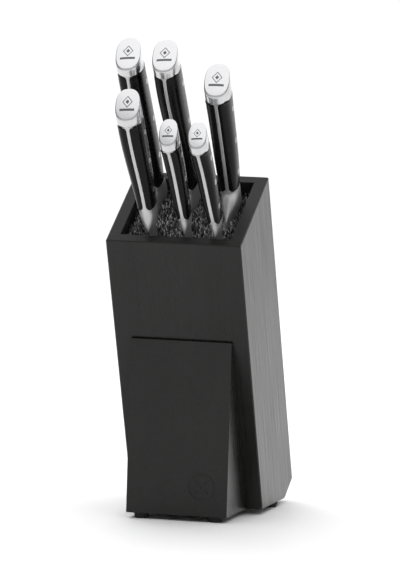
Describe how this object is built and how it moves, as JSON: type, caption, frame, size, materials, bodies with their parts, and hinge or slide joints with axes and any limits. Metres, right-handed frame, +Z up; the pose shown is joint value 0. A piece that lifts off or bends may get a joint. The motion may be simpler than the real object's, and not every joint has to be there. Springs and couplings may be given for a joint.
{
  "type": "knife block with knives",
  "caption": "Leaning square wooden knife block on a prop wedge, with a lift-out bristle insert that holds riveted, full-tang forged kitchen knives.",
  "frame": {"origin": "bottom centre of the whole outline, on the surface that the feet stand on", "axes": "+X to the right and +Z up as seen from the front; the box leans towards -Y, and the rear is +Y"},
  "size_m": [0.11, 0.2784, 0.3866],
  "materials": {
    "stained_wood": "black-stained, satin, open pores",
    "plated_steel": "zinc plated",
    "rubber": "matt",
    "tray_plastic": "matt",
    "bristles": "fine black nylon bristles",
    "blade_steel": "ground and polished stainless steel",
    "handle_black": "satin black moulded plastic",
    "cap_steel": "brushed face, polished rim",
    "rivet_steel": "polished flush"
  },
  "bodies": {
    "box": {"front_panel": "stained_wood", "rear_panel": "stained_wood", "left_panel": "stained_wood", "right_panel": "stained_wood", "floor_board": "stained_wood", "heel_board": "stained_wood", "prop_wedge": "stained_wood", "wedge_screws": "plated_steel", "foot_front_left": "rubber", "foot_front_right": "rubber", "foot_rear_left": "rubber", "foot_rear_right": "rubber", "foot_screws": "plated_steel"},
    "insert": {"bristle_tray": "tray_plastic", "bristle_mass": "bristles"},
    "bread_knife": {"bread_knife_forging": "blade_steel", "bread_knife_scale_left": "handle_black", "bread_knife_scale_right": "handle_black", "bread_knife_end_cap": "cap_steel", "bread_knife_rivets": "rivet_steel"},
    "carving_knife": {"carving_knife_forging": "blade_steel", "carving_knife_scale_left": "handle_black", "carving_knife_scale_right": "handle_black", "carving_knife_end_cap": "cap_steel", "carving_knife_rivets": "rivet_steel"},
    "chef_knife": {"chef_knife_forging": "blade_steel", "chef_knife_scale_left": "handle_black", "chef_knife_scale_right": "handle_black", "chef_knife_end_cap": "cap_steel", "chef_knife_rivets": "rivet_steel"},
    "utility_knife": {"utility_knife_forging": "blade_steel", "utility_knife_scale_left": "handle_black", "utility_knife_scale_right": "handle_black", "utility_knife_end_cap": "cap_steel", "utility_knife_rivets": "rivet_steel"},
    "steak_knife": {"steak_knife_forging": "blade_steel", "steak_knife_scale_left": "handle_black", "steak_knife_scale_right": "handle_black", "steak_knife_end_cap": "cap_steel", "steak_knife_rivets": "rivet_steel"},
    "paring_knife": {"paring_knife_forging": "blade_steel", "paring_knife_scale_left": "handle_black", "paring_knife_scale_right": "handle_black", "paring_knife_end_cap": "cap_steel", "paring_knife_rivets": "rivet_steel"}
  },
  "joints": [
    {"name": "insert_lift", "type": "slide", "parent": "box", "child": "insert", "axis": [0, -0.4695, 0.8829], "range_m": [0, 0.3]},
    {"name": "bread_knife_draw", "type": "slide", "parent": "insert", "child": "bread_knife", "axis": [-0.0941, -0.4827, 0.8707], "range_m": [0, 0.2251]},
    {"name": "carving_knife_draw", "type": "slide", "parent": "insert", "child": "carving_knife", "axis": [-0.0802, -0.4832, 0.8718], "range_m": [0, 0.2254]},
    {"name": "chef_knife_draw", "type": "slide", "parent": "insert", "child": "chef_knife", "axis": [-0.0192, -0.4999, 0.8659], "range_m": [0, 0.2197]},
    {"name": "utility_knife_draw", "type": "slide", "parent": "insert", "child": "utility_knife", "axis": [-0.0732, -0.4987, 0.8637], "range_m": [0, 0.16]},
    {"name": "steak_knife_draw", "type": "slide", "parent": "insert", "child": "steak_knife", "axis": [-0.0644, -0.5259, 0.8481], "range_m": [0, 0.1312]},
    {"name": "paring_knife_draw", "type": "slide", "parent": "insert", "child": "paring_knife", "axis": [-0.0906, -0.4994, 0.8616], "range_m": [0, 0.1036]}
  ]
}
